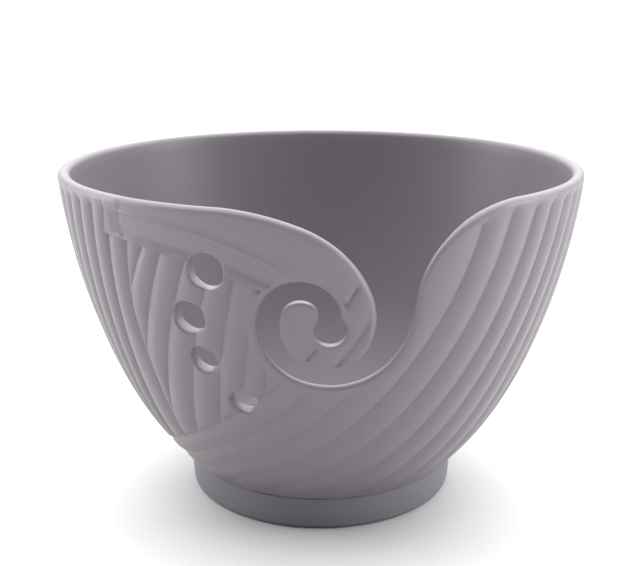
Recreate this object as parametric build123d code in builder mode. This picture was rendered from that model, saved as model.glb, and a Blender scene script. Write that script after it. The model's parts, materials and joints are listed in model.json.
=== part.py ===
from build123d import *
import os
from math import asin, cos, degrees, radians, sin, sqrt

# A yarn bowl: a one-piece moulded plastic bowl with a spiral yarn slot and four
# needle holes in its front wall, standing in a soft non-slip base.
# +Z is up, the front is -Y, and the origin is the centre of the resting face.
# An azimuth is measured in degrees from the front, positive towards +X.

# Driving dimensions, in millimetres and degrees
rim_radius = 100.1
bowl_height = 130.3
wall = 4.5
rim_flare = 4.9                 # slope of the wall from vertical at the rim
upper_arc = 244.0               # radius of the wall's upper curve
lower_arc = 137.0               # radius of its tighter lower curve
arc_join = 53.3                 # height where the two curves meet

base_height = 13.0
base_top_radius = 53.7
base_bottom_radius = 52.9
base_edge = 2.2                 # rounding of the base's lower edge
sole = 3.0                      # thickness of the soft sole
spigot_radius = 50.0            # moulded foot ring that the base is pressed on to
spigot_wall = 3.6
floor_bottom = 10.0
floor_top = 13.6
floor_fillet = 9.0
rim_rounding = 2.0              # the rim is a nearly full-round lip
seam_rounding = 0.6

# Needle holes from the top down, each as (azimuth, height, radius)
needle_holes = [(-22.0, 109.25, 6.15), (-27.2, 92.3, 5.95), (-25.7, 76.9, 5.0), (-18.0, 61.6, 4.8)]

# The spiral slot, seen from the front: it starts right of the middle on the rim and
# runs as tangent arcs down round the bowl's arm, into the spiral and back out along
# the arm. Each arc is (radius, turn), and a positive turn goes left.
slot_start = (67.0, 130.4)
slot_arcs = [
    (43.5, 25), (31.8, 61), (43.8, -21), (25.5, -90), (22.0, -83), (13.0, -157), (2.5, 38),
    (5.4, -257), (4.3, 88), (6.5, 111), (16.3, 66), (14.8, 109), (24.5, 39), (38.0, 50),
    (81.9, 21),
]

# Centres of the two wall curves, as (radius, height)
upper_centre_r = rim_radius - upper_arc * cos(radians(rim_flare))
upper_centre_z = bowl_height + upper_arc * sin(radians(rim_flare))
join_slope = degrees(asin((upper_centre_z - arc_join) / upper_arc))
lower_centre_r = upper_centre_r + (upper_arc - lower_arc) * cos(radians(join_slope))
lower_centre_z = upper_centre_z - (upper_arc - lower_arc) * sin(radians(join_slope))
foot_slope = degrees(asin((lower_centre_z - base_height) / lower_arc))


def wall_radius(height):
    """Outer radius of the bowl at a height."""
    if height > arc_join:
        return upper_centre_r + sqrt(upper_arc**2 - (height - upper_centre_z) ** 2)
    return lower_centre_r + sqrt(lower_arc**2 - (height - lower_centre_z) ** 2)


def wall_slope(height):
    """Slope of the wall from vertical at a height, in degrees."""
    if height > arc_join:
        return degrees(asin((upper_centre_z - height) / upper_arc))
    return degrees(asin((lower_centre_z - height) / lower_arc))


def wall_curve(inset):
    """Draw the wall's two tangent arcs from the rim down, set in from the outside."""
    flare = radians(rim_flare)
    upper = JernArc(
        start=(rim_radius - inset * cos(flare), bowl_height + inset * sin(flare)),
        tangent=(-sin(flare), -cos(flare)),
        radius=upper_arc - inset,
        arc_size=rim_flare - join_slope,
    )
    lower = JernArc(
        start=upper @ 1,
        tangent=upper % 1,
        radius=lower_arc - inset,
        arc_size=join_slope - foot_slope,
    )
    return upper @ 0, lower @ 1


# Bowl: a revolved shell with a floor and a foot ring below it
with BuildPart() as bowl:
    with BuildSketch(Plane.XZ) as bowl_section:
        with BuildLine():
            rim_point, foot_point = wall_curve(0)
            Polyline(
                foot_point,
                (spigot_radius, base_height),
                (spigot_radius, sole),
                (spigot_radius - spigot_wall, sole),
                (spigot_radius - spigot_wall, floor_bottom),
                (0, floor_bottom),
                (0, bowl_height),
                rim_point,
            )
        make_face()
        with BuildLine():
            inner_rim, inner_foot = wall_curve(wall)
            above_rim = bowl_height + 2 * wall
            Polyline(
                inner_foot,
                (inner_foot.X - 2 * wall, floor_top),
                (0, floor_top),
                (0, above_rim),
                (inner_rim.X, above_rim),
                inner_rim,
            )
        make_face(mode=Mode.SUBTRACT)
        floor_corner = bowl_section.vertices().sort_by_distance((inner_foot.X - 2 * wall, floor_top))[0]
        fillet(floor_corner, floor_fillet)
        rim_corners = bowl_section.vertices().group_by(Axis.Y)[-1]
        fillet(rim_corners, rim_rounding)
    revolve(axis=Axis.Z)

    # Spiral slot, cut straight through the front wall
    with BuildSketch(Plane.XZ):
        with BuildLine():
            end, heading = slot_start, (-1, 0)
            for radius, turn in slot_arcs:
                arc = JernArc(start=end, tangent=heading, radius=radius, arc_size=turn)
                end, heading = arc @ 1, arc % 1
            Polyline(end, (end.X, 2 * bowl_height), (slot_start[0], 2 * bowl_height), slot_start)
        make_face()
    extrude(amount=2 * rim_radius, mode=Mode.SUBTRACT)

    # Needle holes, each square to the wall
    for azimuth, height, hole_radius in needle_holes:
        radius, slope = wall_radius(height), radians(wall_slope(height))
        ahead = (sin(radians(azimuth)), -cos(radians(azimuth)))
        hole_plane = Plane(
            origin=(radius * ahead[0], radius * ahead[1], height),
            z_dir=(cos(slope) * ahead[0], cos(slope) * ahead[1], -sin(slope)),
        )
        with BuildSketch(hole_plane):
            Circle(hole_radius)
        extrude(amount=3 * wall, both=True, mode=Mode.SUBTRACT)
bowl.part.label = "bowl"

# Non-slip base: a soft cup pressed on to the foot ring
with BuildPart() as non_slip_base:
    with BuildSketch(Plane.XZ) as base_section:
        with BuildLine():
            Polyline(
                (0, 0),
                (base_bottom_radius, 0),
                (base_top_radius, base_height),
                (spigot_radius, base_height),
                (spigot_radius, sole),
                (0, sole),
                close=True,
            )
        make_face()
        lower_edge = base_section.vertices().sort_by_distance((base_bottom_radius, 0))[0]
        fillet(lower_edge, base_edge)
        upper_edge = base_section.vertices().sort_by_distance((base_top_radius, base_height))[0]
        fillet(upper_edge, seam_rounding)
    revolve(axis=Axis.Z)
non_slip_base.part.label = "non_slip_base"

os.makedirs("parts", exist_ok=True)
for piece in (bowl, non_slip_base):
    export_step(piece.part, f"parts/{piece.part.label}.step")
    print(piece.part.label, round(piece.part.volume / 1000, 1), "cm3")
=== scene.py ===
import bpy
import bmesh
import json
import numpy as np
from math import asin, atan2, ceil, cos, pi, radians, sin, sqrt
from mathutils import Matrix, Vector
from mathutils.geometry import delaunay_2d_cdt


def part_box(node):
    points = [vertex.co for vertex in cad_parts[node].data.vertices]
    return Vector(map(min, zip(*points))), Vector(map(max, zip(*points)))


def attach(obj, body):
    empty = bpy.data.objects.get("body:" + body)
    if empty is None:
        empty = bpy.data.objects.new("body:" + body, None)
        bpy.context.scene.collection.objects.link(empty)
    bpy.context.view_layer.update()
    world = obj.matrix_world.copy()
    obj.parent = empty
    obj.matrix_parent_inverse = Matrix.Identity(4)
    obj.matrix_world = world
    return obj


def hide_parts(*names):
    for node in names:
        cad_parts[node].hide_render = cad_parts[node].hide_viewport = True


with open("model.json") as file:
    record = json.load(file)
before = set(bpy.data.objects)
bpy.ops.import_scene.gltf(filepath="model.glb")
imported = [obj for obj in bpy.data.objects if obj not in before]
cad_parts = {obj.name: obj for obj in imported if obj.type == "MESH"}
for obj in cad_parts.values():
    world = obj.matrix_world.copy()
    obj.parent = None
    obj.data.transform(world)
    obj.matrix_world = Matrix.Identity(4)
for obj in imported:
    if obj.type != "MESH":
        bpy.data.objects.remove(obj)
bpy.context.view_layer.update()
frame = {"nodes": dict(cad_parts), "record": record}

# A yarn bowl with a soft base. Shapes are worked out in millimetres and degrees in the CAD
# frame: +Z up, front towards -Y, azimuth measured from the front and positive towards +X.
MM = 0.001
bowl_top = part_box("bowl")[1] / MM
base_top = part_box("non_slip_base")[1] / MM
rim_radius, rim_height, seam_height = bowl_top.x, bowl_top.z, base_top.z

bores = [m for m in frame["record"]["mounts"] if m["kind"] == "bore"]

# Wall: two tangent arcs, as in the CAD part, as thick as its needle holes are long
wall = bores[0]["dims"]["length_mm"]
upper_arc, lower_arc, arc_join = 244.0, 137.0, 53.3
# The axis of a hole is square to the wall, so it leads to the upper arc's centre
hole_centre, hole_axis = Vector(bores[0]["pos_m"]) / MM, Vector(bores[0]["axis"])
hole_outward = Vector((hole_centre.x, hole_centre.y, 0)).normalized()
upper_centre = hole_centre + (wall / 2 - upper_arc) * hole_axis
upper_r, upper_z = upper_centre.dot(hole_outward), upper_centre.z
join_slope = asin((upper_z - arc_join) / upper_arc)
lower_r = upper_r + (upper_arc - lower_arc) * cos(join_slope)
lower_z = upper_z - (upper_arc - lower_arc) * sin(join_slope)

# Floor and foot ring
floor_top, floor_bottom, floor_fillet = 13.6, 10.0, 9.0
spigot_outer, spigot_inner, sole = 50.0, 46.4, 3.0

# Spiral slot in the front view: (radius, turn) of tangent arcs, a positive turn goes left
slot_start = (67.0, 130.4)
slot_arcs = [
    (43.5, 25), (31.8, 61), (43.8, -21), (25.5, -90), (22.0, -83), (13.0, -157), (2.5, 38),
    (5.4, -257), (4.3, 88), (6.5, 111), (16.3, 66), (14.8, 109), (24.5, 39), (38.0, 50),
    (81.9, 21),
]
# Rounding of its edges along each arc, then of the rim and of the needle holes
slot_rounding = [2.2, 2.2, 2.2, 2.2, 2.1, 1.3, 1.0, 1.0, 1.0, 1.0, 1.2, 1.6, 1.8, 2.0, 2.2]
rim_rounding, hole_rounding = 2.2, 0.9

# Ribs. Every crease leans to the left on its way down. Azimuths are of the rim end.
rib_top, rib_length = 129.0, 115.0
rib_depth = 1.3
swirl_starts = [11, 18, 25, 32, 39, 46, 52, 58, 63.5, 69]
swirl_gain, swirl_end = 1.77, 68.7
mouth_crease = 2    # this one turns into the mouth of the slot
straight_ribs = 46
band_left = -45.0
straight_starts = np.linspace(swirl_starts[-1], 360 + band_left, straight_ribs + 1)[1:]
rib_pitch = straight_starts[1] - straight_starts[0]
seam_line = straight_starts[20] - 360
arm_centre, arm_reach = (3, 95), 21
# Ribs that start under the band: (azimuth, lean in degrees per mm, leftmost azimuth)
branch_height = 115.0
branches = [
    (-40.9, 0.10, -43.3), (-36.4, 0.36, -90), (-31.7, 0.28, -90), (-25.8, 0.26, -90),
    (-20.3, 0.215, -90), (-15.5, 0.165, -90), (-10.0, 0.165, -90), (-7.7, 0.10, -90),
]
# Plain band from the rim into the arm, as (azimuth, height): its scalloped lower edge, the top
# of the lip along that edge, and the two creases above
band_foot = 101    # the edge's height on the arm
band_edge = [
    (-46, 117.2), (-45.4, 117), (-44.6, 116.5), (-41.9, 116.6), (-41.2, 116.2), (-39.4, 116.3),
    (-37, 115.7), (-35, 115), (-31.8, 114.6), (-31, 114.1), (-30.6, 113.3), (-30.2, 113.8),
    (-27.4, 113.2), (-25.9, 112.9), (-25.2, 112.1), (-17.3, 108), (-14.8, 106.6), (-13, 105.5),
    (-11.7, 104.9), (-10.4, 103.7), (-10, band_foot), (20, band_foot),
]
band_lip = [
    (-41.4, 118.6), (-36.4, 117.9), (-30.7, 116.6), (-24.4, 115.1), (-17, 111.7), (-11.7, 108), (-9.5, 106),
]
lower_crease = [
    (-41.5, 125.4), (-35.7, 124.9), (-31.9, 124.4), (-28.7, 123.3), (-24.6, 122), (-20.6, 120.6),
    (-18, 119.3), (-14.3, 116.9), (-10, 113.8), (-6.7, 110), (-5, 107),
]
upper_crease = [
    (-30, 128), (-25.5, 127.5), (-21.5, 125.9), (-15.2, 122.3), (-12, 120.4), (-8.9, 118.3), (6, 111),
]


def smooth(t):
    t = np.clip(t, 0, 1)
    return t * t * (3 - 2 * t)


def wall_radius(z, inset=0.0):
    """Radius of the wall at a height, set in from the outside."""
    z, a, b = np.asarray(z, float), upper_arc - inset, lower_arc - inset
    upper = upper_r + np.sqrt(a * a - (z - upper_z) ** 2)
    lower = lower_r + np.sqrt(b * b - (z - lower_z) ** 2)
    return np.where(z > upper_z - a * sin(join_slope), upper, lower)


def wall_slope(z, inset=0.0):
    """Slope of the wall from vertical at a height, in radians."""
    z, a, b = np.asarray(z, float), upper_arc - inset, lower_arc - inset
    upper = np.arcsin(np.clip((upper_z - z) / a, -1, 1))
    lower = np.arcsin(np.clip((lower_z - z) / b, -1, 1))
    return np.where(z > upper_z - a * sin(join_slope), upper, lower)


def lean(z):
    """How far a crease has gone to the left at a height. Azimuth + lean is straight down a rib."""
    return 9 * np.clip((rib_top - z) / rib_length, 0, 1) ** 0.8


def creases(z):
    """Straightened azimuths of the creases at heights z, once round the bowl from the first
    swirled rib to where the straight ribs run into it again."""
    t = np.clip((rib_top - z) / rib_length, 0, 1)
    curl = 0.55 * t**2 + 0.45 * t**6
    lines = [a - swirl_gain * max(0, swirl_end - a) * curl for a in swirl_starts]
    lines[mouth_crease] = lines[mouth_crease] - 3 * smooth((z - 80) / 15)
    lines[0] = lines[0] + 1.1 * smooth((z - 66) / 8) - 0.45 * smooth((z - 82) / 16)    # on the arm
    lines += [np.full_like(z, a) for a in straight_starts]
    for azimuth, drift, leftmost in branches:
        own = np.maximum(azimuth - drift * (branch_height - z), leftmost) + 360 + lean(z)
        lines.append(np.maximum(own, lines[-1]))
    lines.append(lines[0] + 360)
    return np.array(lines)


def relief(s, z):
    """Depth of the outer surface below the rib crests at straightened azimuth s and height z."""
    z = np.asarray(z, float)
    lines = creases(z)
    s = lines[0] + np.mod(s - lines[0] + 1e-4, 360)    # a point on the first crease is right of it
    rib = np.clip((np.minimum(lines, lines[-1]) <= s).sum(0) - 1, 0, len(lines) - 2)
    here = np.arange(len(z))
    left, right = lines[rib, here], lines[rib + 1, here]
    across = (s - left) / np.maximum(right - left, 1e-6)
    to_swirl = np.radians(lines[-1] - s) * wall_radius(z)
    azimuth = np.mod(s - lean(z) + 180, 360) - 180
    edge, lip, lower, upper = (
        np.interp(azimuth, *zip(*line)) for line in (band_edge, band_lip, lower_crease, upper_crease)
    )

    # Each rib is a convex reed between two creases, and a narrow one is less proud
    full = np.clip((right - left) / rib_pitch, 0, 1) ** 1.2
    crease_depth = rib_depth * wall_radius(z) / rim_radius * (0.35 + 0.65 * smooth((z - seam_height) / 7))
    ribs = crease_depth * (1 - full * (1 - (2 * across - 1) ** 2))
    ribs = np.maximum(ribs, crease_depth * np.clip(1 - to_swirl / 4.5, 0, 1) ** 2)
    under_band = s > 360 + band_left - 1e-6
    ribs += under_band * 0.3 * np.exp(-np.maximum(edge - z, 0) / 8)
    x = wall_radius(z) * np.sin(np.radians(azimuth))
    on_arm = (np.hypot(x - arm_centre[0], z - arm_centre[1]) < arm_reach) & (np.abs(azimuth) < 60)
    past_swirl = np.where(rib == 0, np.radians(s - left) * wall_radius(z), 9)
    ribs = ribs + on_arm * 0.1 * np.clip(1 - past_swirl / 0.6, 0, 1)
    ribs *= 1 - 0.9 * smooth((z - 125.2) / 2.8)    # they run out under the rim's lip

    # The band lies in shingles: the surface steps down below a crease and comes back out
    above, below = np.maximum(z - lower, 0), np.maximum(lower - z, 0)
    past_strip = smooth((azimuth + 41.3) / 0.6)
    along = past_strip * smooth((-4 - azimuth) / 7)
    panel = 0.45 + 0.6 * np.clip(below / (lower - lip), 0, 1)
    panel *= np.clip(below / 0.5, 0, 1) * np.clip((z - edge - 0.4) / (lip - edge), 0, 1)
    bar = 0.4 * smooth(above / 1.8) * np.exp(-above / 5) * (below == 0)
    shingle = 0.3 * smooth((upper - z) / 1.6) * np.exp(-np.maximum(upper - z, 0) / 6)
    shingle *= smooth((azimuth + 30) / 8) * smooth((2 - azimuth) / 8) * np.clip(1 - below / 0.5, 0, 1)
    strip = 0.9 * np.clip((azimuth + 44.1) / 2.8, 0, 1) * (1 - past_strip)
    strip *= smooth((z - 117.6) / 0.8) * smooth((126.2 - z) / 0.8)
    swirl_side = 0.3 * np.clip(1 - to_swirl / 6, 0, 1) ** 2 + 0.7 * np.clip(1 - to_swirl / 2.2, 0, 1) ** 1.5
    band = (panel + bar) * along + shingle + strip + swirl_side
    on_band = under_band & (s < lines[-1])
    on_band = on_band * np.clip(1 + (z - edge) / 0.35, 0, 1)
    return ribs * (1 - on_band) + band * on_band


def on_wall(azimuth, z, inset=0.0, depth=0.0):
    """Points of the wall in space."""
    r, a = wall_radius(z, inset) - depth, np.radians(azimuth)
    return np.stack([r * np.sin(a), -r * np.cos(a), np.asarray(z, float) + 0 * r], -1)


def wall_directions(azimuth, z, inset=0.0):
    """Unit vectors along the wall at each point: towards larger azimuth, and up."""
    a, slope = np.radians(azimuth), wall_slope(z, inset)
    across = np.stack([np.cos(a), np.sin(a), 0 * a], -1)
    up = np.stack([np.sin(slope) * np.sin(a), -np.sin(slope) * np.cos(a), np.cos(slope)], -1)
    return across, up


def slot_path(spacing):
    """The slot in the front view, as closely spaced points (x, height, number of the arc)."""
    (x, z), heading, points = slot_start, pi, [(*slot_start, 0)]
    for arc, (radius, turn) in enumerate(slot_arcs):
        side = 1 if turn > 0 else -1
        cx, cz = x - side * radius * sin(heading), z + side * radius * cos(heading)
        count = ceil(radius * radians(abs(turn)) / spacing)
        for i in range(1, count + 1):
            angle = heading + radians(turn) * i / count
            points.append((cx + side * radius * sin(angle), cz - side * radius * cos(angle), arc))
        heading += radians(turn)
        x, z = points[-1][:2]
    return np.array(points)


def offset_in(azimuth, z, distance, inset):
    """Move a path into the material on its right, along the wall. Gives the moved path and the
    direction in space in which it was moved."""
    slope = wall_slope(z, inset)
    across = np.gradient(np.radians(azimuth)) * wall_radius(z, inset)
    up = np.gradient(z) / np.cos(slope)
    length = np.hypot(across, up)
    right_across, right_up = up / length, -across / length
    moved = azimuth + np.degrees(distance * right_across / wall_radius(z, inset))
    moved_z = z + distance * right_up * np.cos(slope)
    e_across, e_up = wall_directions(azimuth, z, inset)
    return moved, moved_z, right_across[:, None] * e_across + right_up[:, None] * e_up


class Solid:
    """A closed surface that is put together from parts."""

    def __init__(self):
        self.points, self.faces = [], []

    def add(self, points):
        first = len(self.points)
        self.points.extend(map(tuple, points))
        return list(range(first, len(self.points)))

    def strip(self, a, b, closed=True):
        """Quads between two rows with the same number of points."""
        for i in range(len(a) if closed else len(a) - 1):
            j = (i + 1) % len(a)
            self.faces.append((a[i], a[j], b[j], b[i]))

    def zip_rings(self, a, b, angle_a, angle_b):
        """Triangles between two rings whose points are in order of angle, from the same angle."""
        i = j = 0
        while i < len(a) or j < len(b):
            next_a = angle_a[i + 1] if i + 1 < len(a) else angle_a[0] + 360
            next_b = angle_b[j + 1] if j + 1 < len(b) else angle_b[0] + 360
            here_a, here_b = a[i % len(a)], b[j % len(b)]
            if j >= len(b) or (i < len(a) and next_a <= next_b):
                self.faces.append((here_a, a[(i + 1) % len(a)], here_b))
                i += 1
            else:
                self.faces.append((here_a, b[(j + 1) % len(b)], here_b))
                j += 1

    def rings(self, first, profile, angles):
        """Rings of points down a profile of (radius, height); a radius of 0 closes the surface."""
        for radius, z in profile:
            if radius == 0:
                tip = self.add([(0, 0, z)])[0]
                self.faces += [(first[i], first[(i + 1) % len(first)], tip) for i in range(len(first))]
                return tip
            a = np.radians(angles)
            ring = self.add(np.stack([radius * np.sin(a), -radius * np.cos(a), z + 0 * a], -1))
            if first:
                self.strip(first, ring)
            first = ring
        return first

    def build(self, name, sharp=35):
        mesh = bpy.data.meshes.new(name)
        mesh.from_pydata([Vector(p) * MM for p in self.points], [], self.faces)
        shape = bmesh.new()
        shape.from_mesh(mesh)
        bmesh.ops.remove_doubles(shape, verts=shape.verts, dist=1e-7)
        bmesh.ops.recalc_face_normals(shape, faces=shape.faces)
        open_edges = sum(len(e.link_faces) != 2 for e in shape.edges)
        print(name, len(shape.verts), "points,", len(shape.faces), "faces,", open_edges, "open edges")
        shape.to_mesh(mesh)
        shape.free()
        mesh.shade_smooth()
        mesh.set_sharp_from_angle(angle=radians(sharp))
        obj = bpy.data.objects.new(name, mesh)
        bpy.context.scene.collection.objects.link(obj)
        return obj


def near(px, pz, qx, qz):
    """Distance from each point to the nearest of some others."""
    best = np.full(len(px), 1e9)
    for i in range(0, len(px), 4000):
        part = slice(i, i + 4000)
        d = (px[part, None] - qx) ** 2 + (pz[part, None] - qz) ** 2
        best[part] = np.sqrt(d.min(1))
    return best


def inside(px, pz, loops):
    """Whether each point is inside an odd number of closed loops."""
    odd = np.zeros(len(px), bool)
    for lx, lz in loops:
        nx, nz = np.roll(lx, -1), np.roll(lz, -1)
        for i in range(0, len(px), 4000):
            part = slice(i, i + 4000)
            x, z = px[part, None], pz[part, None]
            spans = (lz > z) != (nz > z)
            with np.errstate(divide="ignore", invalid="ignore"):
                crossing = lx + (z - lz) * (nx - lx) / (nz - lz)
            odd[part] ^= (spans & (x < crossing)).sum(1) % 2 == 1
    return odd


def triangulate(x, z, edges, loops):
    """Triangles of the region inside the loops. Gives all points, the triangles, and where each
    of the given points went."""
    given = [Vector(p) for p in zip(x, z)]
    points, _, faces, origin, _, _ = delaunay_2d_cdt(given, edges, [], 0, 1e-5)
    went = np.zeros(len(given), int)
    for i, sources in enumerate(origin):
        went[sources] = i
    points, faces = np.array(points), np.array(faces)
    middle = points[faces].mean(1)
    return points, faces[inside(middle[:, 0], middle[:, 1], loops)], went


# Upper edge of the outer surface: the rim on the left, the slot, the rim on the right
DEGREE = 1.6    # millimetres that stand for a degree in the unrolled surface
path_step, rim_step = 0.1, 0.06    # in millimetres along the slot, in degrees along the rim
path = slot_path(path_step)[::-1]
path = path[path[:, 1] < rim_height]
path_azimuth = np.degrees(np.arcsin(path[:, 0] / wall_radius(path[:, 1])))
rim_left = np.arange(seam_line, path_azimuth[0], rim_step)
rim_right = np.append(np.arange(path_azimuth[-1], seam_line + 360, rim_step)[1:], seam_line + 360)
edge_azimuth = np.concatenate([rim_left, path_azimuth, rim_right])
edge_z = np.concatenate([0 * rim_left + rim_height, path[:, 1], 0 * rim_right + rim_height])
arc_rounding = np.array(slot_rounding)[path[:, 2].astype(int)]
rounding = np.concatenate([0 * rim_left + rim_rounding, arc_rounding, 0 * rim_right + rim_rounding])
rounding = np.convolve(np.pad(rounding, 40, "edge"), np.ones(81) / 81, "valid")
path_rounding = rounding[len(rim_left):len(rim_left) + len(path)]
# The slot is cut straight back, and towards the rim its wall turns to face the bowl's axis
straight_cut = smooth((rim_height - edge_z) / 12)
cut_azimuth = np.degrees(np.arcsin(np.clip(
    wall_radius(edge_z) * np.sin(np.radians(edge_azimuth)) / wall_radius(edge_z, wall), -1, 1)))
cut_azimuth = np.where(np.abs(edge_azimuth) < 90, cut_azimuth, edge_azimuth)
inner_azimuth = edge_azimuth + straight_cut * (cut_azimuth - edge_azimuth)

out_azimuth, out_z, out_move = offset_in(edge_azimuth, edge_z, rounding, 0)
in_azimuth, in_z, in_move = offset_in(inner_azimuth, edge_z, rounding, wall)
through = on_wall(inner_azimuth, edge_z, wall) - on_wall(edge_azimuth, edge_z)
through /= np.linalg.norm(through, axis=1)[:, None]
out_s = out_azimuth + lean(out_z)
out_s[0], out_s[-1] = seam_line, seam_line + 360

# Points of that edge: about every millimetre, and on every crease
lines = creases(out_z)
turned = lines[0] + np.mod(out_s - lines[0], 360)
rib = np.clip((np.minimum(lines, lines[-1]) <= turned).sum(0) - 1, 0, len(lines) - 2)
kinks = np.flatnonzero(np.diff(rib)) + 1
length = np.concatenate([[0], np.cumsum(np.hypot(np.diff(out_s) * DEGREE, np.diff(out_z)))])
even = np.searchsorted(length, np.linspace(0, length[-1], int(length[-1] / 1.0)))
even = even[np.abs(length[even][:, None] - length[kinks]).min(1) > 0.3]
chosen = np.unique(np.concatenate([[0], kinks, even]))
chosen = np.append(chosen[out_s[chosen] < seam_line + 359.7], len(length) - 1)

# Needle holes, from the mounts of the record
holes = []
for mount in bores:
    axis = Vector(mount["axis"]).normalized()
    side = axis.cross((0, 0, 1)).normalized()
    top = side.cross(axis)
    holes.append((Vector(mount["pos_m"]) / MM, axis, side, top, mount["dims"]["r_mm"]))
hole_turns = np.linspace(0, 2 * pi, 49)[:-1]


def hole_ring(hole, extra, inset):
    """A ring round a needle hole on the wall, as azimuths and heights, with its directions."""
    centre, axis, side, top, radius = hole
    centre = np.array(centre + axis * (wall / 2 - inset))
    outward = np.outer(np.cos(hole_turns), side) + np.outer(np.sin(hole_turns), top)
    p = centre + (radius + extra) * outward
    return np.degrees(np.arctan2(p[:, 0], -p[:, 1])), p[:, 2], outward


def outline(loop_s, loop_z, foot):
    """Closed loops round an unrolled surface and round each of its holes. The first loop given is
    only its upper edge, from one side of the back seam to the other."""
    around = (np.append(loop_s[0], [seam_line + 360, seam_line]), np.append(loop_z[0], [foot - 1e-3] * 2))
    return [(a * DEGREE, b) for a, b in (around, *zip(loop_s[1:], loop_z[1:]))]


def add_surface(s, z, edges, sides, side_z, loop_s, loop_z, foot, place):
    """Mesh an unrolled surface with the given points and edges, put it in space with place() and
    add it to the bowl, joined at the back seam. The sides are lists of the points already on the
    seam. Gives the flat points, their numbers in the bowl, where the given points went, and the
    numbers of each loop."""
    for side, x in zip(sides, (seam_line, seam_line + 360)):
        side += range(len(s), len(s) + len(side_z))
        s, z = np.append(s, [x] * len(side_z)), np.append(z, side_z)
    rings = []
    for a, b in zip(loop_s, loop_z):
        ring = list(range(len(s), len(s) + len(a)))
        s, z = np.append(s, a), np.append(z, b)
        rings.append(ring)
        edges += zip(ring, ring[1:])
        if len(rings) > 1:
            edges.append((ring[-1], ring[0]))
    for side, end in zip(sides, (0, -1)):
        edges += [*zip(side, side[1:]), (side[-1], rings[0][end])]
    points, faces, went = triangulate(s * DEGREE, z, edges, outline(loop_s, loop_z, foot))
    s, z = points[:, 0] / DEGREE, points[:, 1]
    numbers = bowl.add(place(s, z))
    for left_side, right_side in zip(*sides):
        numbers[went[right_side]] = numbers[went[left_side]]
    numbers[went[rings[0][-1]]] = numbers[went[rings[0][0]]]
    bowl.faces += [tuple(numbers[i] for i in face) for face in faces]
    return s, z, numbers, went, [[numbers[went[i]] for i in ring] for ring in rings]


def rib_points(rows):
    """Points across the ribs at each height, and the edges that join them along the creases."""
    shares = [0, 0.05, 0.13, 0.25, 0.38, 0.5, 0.62, 0.75, 0.87, 0.95]
    s_list, z_list, edges, column_last = [], [], [], {}
    for z in rows:
        row = creases(np.array([z]))[:, 0]
        row = np.minimum(row, row[-1])
        for k in range(len(row) - 1):
            width = radians(row[k + 1] - row[k]) * float(wall_radius(z))
            if width < 0.3:
                continue
            used = shares if width > 3 else [0, 0.25, 0.5, 0.75] if width > 1 else [0]
            for share in used:
                s = row[k] + share * (row[k + 1] - row[k])
                s = seam_line + (s - seam_line) % 360
                index = len(s_list)
                s_list.append(s)
                z_list.append(z)
                before = column_last.get((k, share))
                column_last[k, share] = index
                on_crease = share == 0 and before is not None
                if on_crease and z - z_list[before] < 1.6 and abs(s - s_list[before]) < 90:
                    edges.append((before, index))
    return np.array(s_list), np.array(z_list), edges


def extra_lines():
    """Lines that need points of their own, as (azimuths, heights): the lower edge and creases of
    the band, the slope beside the first swirled rib, and the left end of the band."""
    found = []
    for drop in (0, 0.35):
        a = np.arange(-46.2, -10.2, 0.45)
        found.append((a, np.interp(a, *zip(*band_edge)) - drop))
    for drop in (-0.9, 0, 0.5):
        a = np.arange(-41.4, -5.5, 0.5)
        found.append((a, np.interp(a, *zip(*lower_crease)) - drop))
    for back in (-0.6, 0, 0.6, 1.5, 2.4):
        b = np.arange(76 if back < 1 else band_foot + 0.2, 127, 0.6)
        found.append((creases(b)[0] - lean(b) - np.degrees(back / wall_radius(b)), b))
    for a in (-44.1, -41.3, -41, -40.7):
        b = np.arange(117.2, 127, 0.7)
        found.append((a + 0 * b, b))
    return found


def outer_depth(s, z):
    """Depth of the outer surface, where the relief fades into plain borders along the slot."""
    depth = relief(s, z)
    plain_depth = 0.3 * smooth((rim_height - 1 - z) / 8)
    for border, width in borders:
        away = near(s * DEGREE, z, path_s[border], path[border, 1]) - path_rounding[border].mean()
        fade = smooth(away / width)
        depth = depth * fade + plain_depth * (1 - fade)
    return depth


def outer_points(s, z):
    return on_wall(s - lean(z), z, 0, outer_depth(s, z))


def inner_points(azimuth, z):
    return on_wall(azimuth, z, wall)


# Plain borders: (which points of the slot's edge, width). The wide one is along its outer side.
outer_side = ceil(sum(radius * radians(abs(turn)) for radius, turn in slot_arcs[:5]) / path_step)
on_outer_side = np.arange(len(path)) > len(path) - outer_side
borders = (path[:, 1] < 124.6, 0.7), (on_outer_side & (path[:, 1] < 129), 2.4)
path_s = (path_azimuth + lean(path[:, 1])) * DEGREE

# Outer surface: points on the ribs, an even grid on the band, and the extra lines
bowl = Solid()
foot_z = seam_height + 0.45
rows = np.concatenate([np.arange(foot_z, 40, 1.0), np.arange(40.4, rim_height - 1.6, 1.4)])
s, z, edges = rib_points(rows)
loop_s, loop_z = [out_s[chosen]], [out_z[chosen]]
for hole in holes:
    azimuth, ring_z, _ = hole_ring(hole, hole_rounding, 0)
    loop_s.append(azimuth + lean(ring_z))
    loop_z.append(ring_z)
dense_s, dense_z = np.concatenate([out_s] + loop_s[1:]) * DEGREE, np.concatenate([out_z] + loop_z[1:])
loops = outline(loop_s, loop_z, foot_z)
lines = extra_lines()
line_s = np.concatenate([a + lean(b) for a, b in lines])
line_z = np.concatenate([b for a, b in lines])

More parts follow.
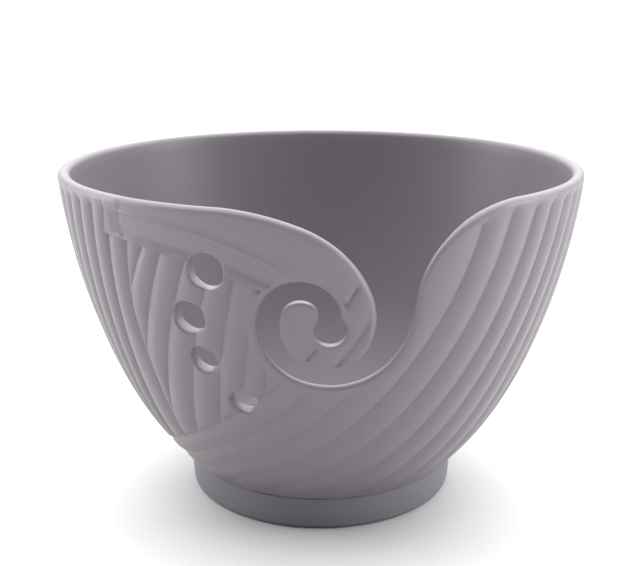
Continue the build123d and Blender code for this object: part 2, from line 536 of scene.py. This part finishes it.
on_ribs = (s < band_left) | (s > creases(z)[0] - 1e-6) | (z < np.interp(s - lean(z), *zip(*band_edge)))
edges = [(a, b) for a, b in edges if on_ribs[a] and on_ribs[b]]
band_s, band_z = np.meshgrid(np.arange(band_left + 0.2, 12, 0.5), np.arange(band_foot, rim_height - 1.5, 0.8))
band_s, band_z = band_s.ravel(), band_z.ravel()
on_band = (band_s < creases(band_z)[0] - 0.2) & (band_z > np.interp(band_s - lean(band_z), *zip(*band_edge)))
s, z = np.append(s, band_s), np.append(z, band_z)
kept = np.append(on_ribs, on_band) & inside(s * DEGREE, z, loops)
kept &= near(s * DEGREE, z, dense_s, dense_z) > 0.4
kept &= near(s * DEGREE, z, line_s * DEGREE, line_z) > 0.28
middle_s, middle_z = (np.array([(p[a] + p[b]) / 2 for a, b in edges]) for p in (s * DEGREE, z))
clear = near(middle_s, middle_z, dense_s, dense_z) > 0.5
edges = [(a, b) for (a, b), ok in zip(edges, clear) if ok and kept[a] and kept[b]]
new_index = np.cumsum(kept) - 1
edges = [(int(new_index[a]), int(new_index[b])) for a, b in edges]
s, z = s[kept], z[kept]
for a, b in lines:
    line = a + lean(b)
    ok = inside(line * DEGREE, b, loops) & (near(line * DEGREE, b, dense_s, dense_z) > 0.4)
    first = len(s)
    s, z = np.append(s, line[ok]), np.append(z, b[ok])
    steps = np.diff(np.flatnonzero(ok))
    edges += [(first + i, first + i + 1) for i in range(len(steps)) if steps[i] == 1]
side_z = rows[np.abs(z[:, None] - rows).min(0) < 1e-9]
s, z, outer, _, outer_rings = add_surface(
    s, z, edges, ([], []), side_z, loop_s, loop_z, foot_z, outer_points)
foot_row = sorted(np.flatnonzero(np.abs(z - foot_z) < 1e-6), key=lambda i: s[i])[:-1]
foot_azimuth = (s - lean(z))[foot_row]
foot_depth = outer_depth(s[foot_row], z[foot_row])
foot_ring = [outer[i] for i in foot_row]

# Inner surface, smooth, down to where the rings of the floor take over
inner_foot, inner_step = 32.0, 3.2
columns = seam_line + np.arange(0, 360, 3.0)
side_z = np.arange(inner_foot + inner_step, rim_height - 2, inner_step)
a, z = (grid.ravel() for grid in np.meshgrid(columns[1:], side_z))
loop_a, loop_z = [in_azimuth[chosen]], [in_z[chosen]]
loop_a[0][0], loop_a[0][-1] = seam_line, seam_line + 360
for hole in holes:
    azimuth, ring_z, _ = hole_ring(hole, hole_rounding, wall)
    loop_a.append(azimuth)
    loop_z.append(ring_z)
dense_a, dense_z = np.concatenate([in_azimuth] + loop_a[1:]) * DEGREE, np.concatenate([in_z] + loop_z[1:])
kept = inside(a * DEGREE, z, outline(loop_a, loop_z, inner_foot))
kept &= near(a * DEGREE, z, dense_a, dense_z) > 1.2
bottom = list(range(kept.sum(), kept.sum() + len(columns) + 1))
a = np.concatenate([a[kept], columns, [seam_line + 360]])
z = np.append(z[kept], [inner_foot] * len(bottom))
_, _, inner, went, inner_rings = add_surface(
    a, z, list(zip(bottom, bottom[1:])), ([bottom[0]], [bottom[-1]]), side_z, loop_a, loop_z,
    inner_foot, inner_points)
inner_bottom = [inner[went[i]] for i in bottom[:-1]]


def rounded_edge(out_ring, in_ring, out_move, in_move, through, rounding):
    """The rounded edges and the cut between a ring on the outer surface and one on the inner."""
    start, finish = (np.array([bowl.points[i] for i in ring]) for ring in (out_ring, in_ring))
    edge_rows = [out_ring]
    for turn in (0.25, 0.5, 0.75, 1):
        bend, drop = sin(turn * pi / 2), 1 - cos(turn * pi / 2)
        edge_rows.append(bowl.add(start - rounding * (bend * out_move - drop * through)))
    for turn in (1, 0.75, 0.5, 0.25):
        bend, drop = sin(turn * pi / 2), 1 - cos(turn * pi / 2)
        edge_rows.append(bowl.add(finish - rounding * (bend * in_move + drop * through)))
    edge_rows.append(in_ring)
    for upper, lower in zip(edge_rows, edge_rows[1:]):
        bowl.strip(upper, lower)


rounded_edge(outer_rings[0][:-1], inner_rings[0][:-1], out_move[chosen][:-1], in_move[chosen][:-1],
             through[chosen][:-1], rounding[chosen][:-1, None])
for hole, out_ring, in_ring in zip(holes, outer_rings[1:], inner_rings[1:]):
    outward = hole_ring(hole, hole_rounding, 0)[2]
    rounded_edge(out_ring, in_ring, outward, outward, -np.array(hole[1]), hole_rounding)

# Floor of the bowl, with a fillet up to the wall
fillet_reach = lower_arc - wall - floor_fillet
fillet_z = floor_top + floor_fillet
fillet_r = lower_r + sqrt(fillet_reach**2 - (fillet_z - lower_z) ** 2)
fillet_start = atan2(fillet_z - lower_z, fillet_r - lower_r)
fillet_top = lower_z + (lower_arc - wall) * sin(fillet_start)
profile = [(float(wall_radius(h, wall)), h) for h in np.linspace(inner_foot, fillet_top, 6)[1:]]
for i in range(1, 9):
    angle = fillet_start + (-pi / 2 - fillet_start) * i / 8
    profile.append((fillet_r + floor_fillet * cos(angle), fillet_z + floor_fillet * sin(angle)))
profile += [(fillet_r * 0.66, floor_top), (fillet_r * 0.33, floor_top), (0, floor_top)]
bowl.rings(inner_bottom, profile, columns)

# Lower edge of the ribs, the ledge over the base, the foot ring and the underside
ring = foot_ring
for inward, z in ((0.12, seam_height + 0.15), (0.4, seam_height + 0.02)):
    lowered = bowl.add(on_wall(foot_azimuth, foot_z, 0, foot_depth + inward) - [0, 0, foot_z - z])
    bowl.strip(ring, lowered)
    ring = lowered
columns = foot_azimuth[0] + np.arange(0, 360, 3.0)
spigot = bowl.rings([], [(spigot_outer, seam_height + 0.02)], columns)
bowl.zip_rings(ring, spigot, foot_azimuth, columns)
bowl.rings(spigot, [(spigot_outer, sole), (spigot_inner, sole), (spigot_inner, floor_bottom),
                    (spigot_inner / 2, floor_bottom), (0, floor_bottom)], columns)
bowl_look = bowl.build("bowl_body")

# Soft base: a cup with a rounded lower edge
base_radius = base_top.x
foot_radius = base_radius - 0.8
base_edge, top_edge = 2.2, 0.6
turns = np.arange(0, 360, 2.0)
taper = atan2(base_radius - foot_radius, seam_height)
cup = [(foot_radius / 2, 0)]
for i in range(9):
    angle = -pi / 2 + (pi / 2 - taper) * i / 8
    cup.append((foot_radius - base_edge + base_edge * cos(angle), base_edge + base_edge * sin(angle)))
base = Solid()
for i in range(1, 6):
    h = base_edge + (seam_height - top_edge - base_edge) * i / 5
    cup.append((foot_radius + (base_radius - foot_radius) * (h - base_edge) / (seam_height - base_edge), h))
top_r = cup[-1][0]
for i in range(1, 6):
    angle = pi / 2 * i / 5
    cup.append((top_r - top_edge + top_edge * cos(angle), seam_height - top_edge + top_edge * sin(angle)))
socket = spigot_outer + 0.05
cup += [(socket, seam_height), (socket, sole), (spigot_outer / 2, sole), (0, sole)]
first_ring = base.rings([], cup[:1], turns)
base.rings(first_ring, [(0, 0)], turns)
base.rings(first_ring, cup[1:], turns)
base_look = base.build("base_body")

for piece, node, slot in ((bowl_look, "bowl", "bowl_plastic"), (base_look, "non_slip_base", "base_rubber")):
    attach(piece, "root")
    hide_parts(node)


def new_material(name, colour, roughness, mottle, grain, grain_depth):
    """A moulded surface: faint clouds in the colour and gloss, and a fine grain."""
    material = bpy.data.materials.new(name)
    material.use_nodes = True
    nodes, links = material.node_tree.nodes, material.node_tree.links
    shader = nodes["Principled BSDF"]
    coordinates = nodes.new("ShaderNodeTexCoord")
    clouds = nodes.new("ShaderNodeTexNoise")
    clouds.inputs["Scale"].default_value = 22
    clouds.inputs["Detail"].default_value = 3
    fine = nodes.new("ShaderNodeTexNoise")
    fine.inputs["Scale"].default_value = grain
    fine.inputs["Detail"].default_value = 4
    links.new(coordinates.outputs["Object"], clouds.inputs["Vector"])
    links.new(coordinates.outputs["Object"], fine.inputs["Vector"])
    tint = nodes.new("ShaderNodeValToRGB")
    tint.color_ramp.elements[0].color = (*[c * (1 - mottle) for c in colour], 1)
    tint.color_ramp.elements[1].color = (*[c * (1 + mottle) for c in colour], 1)
    tint.color_ramp.elements[0].position = 0.3
    tint.color_ramp.elements[1].position = 0.7
    links.new(clouds.outputs["Fac"], tint.inputs["Fac"])
    links.new(tint.outputs["Color"], shader.inputs["Base Color"])
    gloss = nodes.new("ShaderNodeMapRange")
    gloss.inputs["To Min"].default_value = roughness - 0.04
    gloss.inputs["To Max"].default_value = roughness + 0.04
    links.new(fine.outputs["Fac"], gloss.inputs["Value"])
    links.new(gloss.outputs["Result"], shader.inputs["Roughness"])
    bump = nodes.new("ShaderNodeBump")
    bump.inputs["Strength"].default_value = 0.25
    bump.inputs["Distance"].default_value = grain_depth
    links.new(fine.outputs["Fac"], bump.inputs["Height"])
    links.new(bump.outputs["Normal"], shader.inputs["Normal"])
    shader.inputs["IOR"].default_value = 1.48
    return material


plastic = new_material("bowl_plastic", (0.172, 0.156, 0.174), 0.40, 0.02, 900, 0.00004)
rubber = new_material("base_rubber", (0.168, 0.158, 0.187), 0.6, 0.03, 1400, 0.00008)
bowl_look.data.materials.append(plastic)
base_look.data.materials.append(rubber)
for name, look in (("bowl", bowl_look), ("non_slip_base", base_look)):
    frame["nodes"][name].data.materials.clear()
    frame["nodes"][name].data.materials.append(look.data.materials[0])

# Pale floor
floor_mesh = bpy.data.meshes.new("floor")
reach = 8.0
floor_mesh.from_pydata([(-reach, -reach, 0), (reach, -reach, 0), (reach, reach, 0), (-reach, reach, 0)], [],
                       [(0, 1, 2, 3)])
floor = bpy.data.objects.new("floor", floor_mesh)
bpy.context.scene.collection.objects.link(floor)
floor_material = new_material("floor_paint", (0.6, 0.6, 0.6), 0.8, 0.004, 200, 0.00002)
floor_mesh.materials.append(floor_material)

# Soft studio light: a bright ceiling, and brighter behind the bowl than in front of it. Each is a
# ramp along an axis: (axis, lower brightness, where it ends, higher brightness, where it begins).
world = bpy.data.worlds.new("studio")
bpy.context.scene.world = world
world.use_nodes = True
nodes, links = world.node_tree.nodes, world.node_tree.links
direction = nodes.new("ShaderNodeTexCoord")
ramps = []
behind, ceiling = ((0, 0.5, 0), 0.06, -0.2, 0.38, 0.05), ((0, 0.35, 1), 0, 0.35, 1, 0.9)
for axis, low, low_at, high, high_at in (behind, ceiling):
    toward = nodes.new("ShaderNodeVectorMath")
    toward.operation = "DOT_PRODUCT"
    toward.inputs[1].default_value = axis
    links.new(direction.outputs["Generated"], toward.inputs[0])
    level = nodes.new("ShaderNodeMapRange")
    level.interpolation_type = "SMOOTHSTEP"
    for socket, value in (("From Min", low_at), ("From Max", high_at), ("To Min", low), ("To Max", high)):
        level.inputs[socket].default_value = value
    links.new(toward.outputs["Value"], level.inputs["Value"])
    ramps.append(level)
total = nodes.new("ShaderNodeMath")
links.new(ramps[0].outputs["Result"], total.inputs[0])
links.new(ramps[1].outputs["Result"], total.inputs[1])
links.new(total.outputs["Value"], nodes["Background"].inputs["Color"])
nodes["Background"].inputs["Strength"].default_value = 3.1


def area_light(name, place, size, power, target=(0, 0, 0.07)):
    data = bpy.data.lights.new(name, "AREA")
    data.shape, data.size, data.size_y, data.energy = "RECTANGLE", size[0], size[1], power
    light = bpy.data.objects.new(name, data)
    light.location = place
    light.rotation_euler = (Vector(target) - Vector(place)).to_track_quat("-Z", "Y").to_euler()
    bpy.context.scene.collection.objects.link(light)


area_light("left_strip", (-0.9, 0.15, 0.3), (0.4, 0.6), 3.4)
area_light("right_strip", (0.9, -0.1, 0.3), (0.4, 0.6), 4.7)

# Camera, a little above the rim and looking down at the front
camera_data = bpy.data.cameras.new("camera")
camera_data.lens = 58.3
camera_data.sensor_width = 36
camera = bpy.data.objects.new("camera", camera_data)
camera.location = (-0.0004, -0.4015, 0.1919)
camera.rotation_euler = (radians(90 - 15.44), 0, 0)
bpy.context.scene.collection.objects.link(camera)
bpy.context.scene.camera = camera
bpy.context.scene.view_settings.view_transform = "Standard"
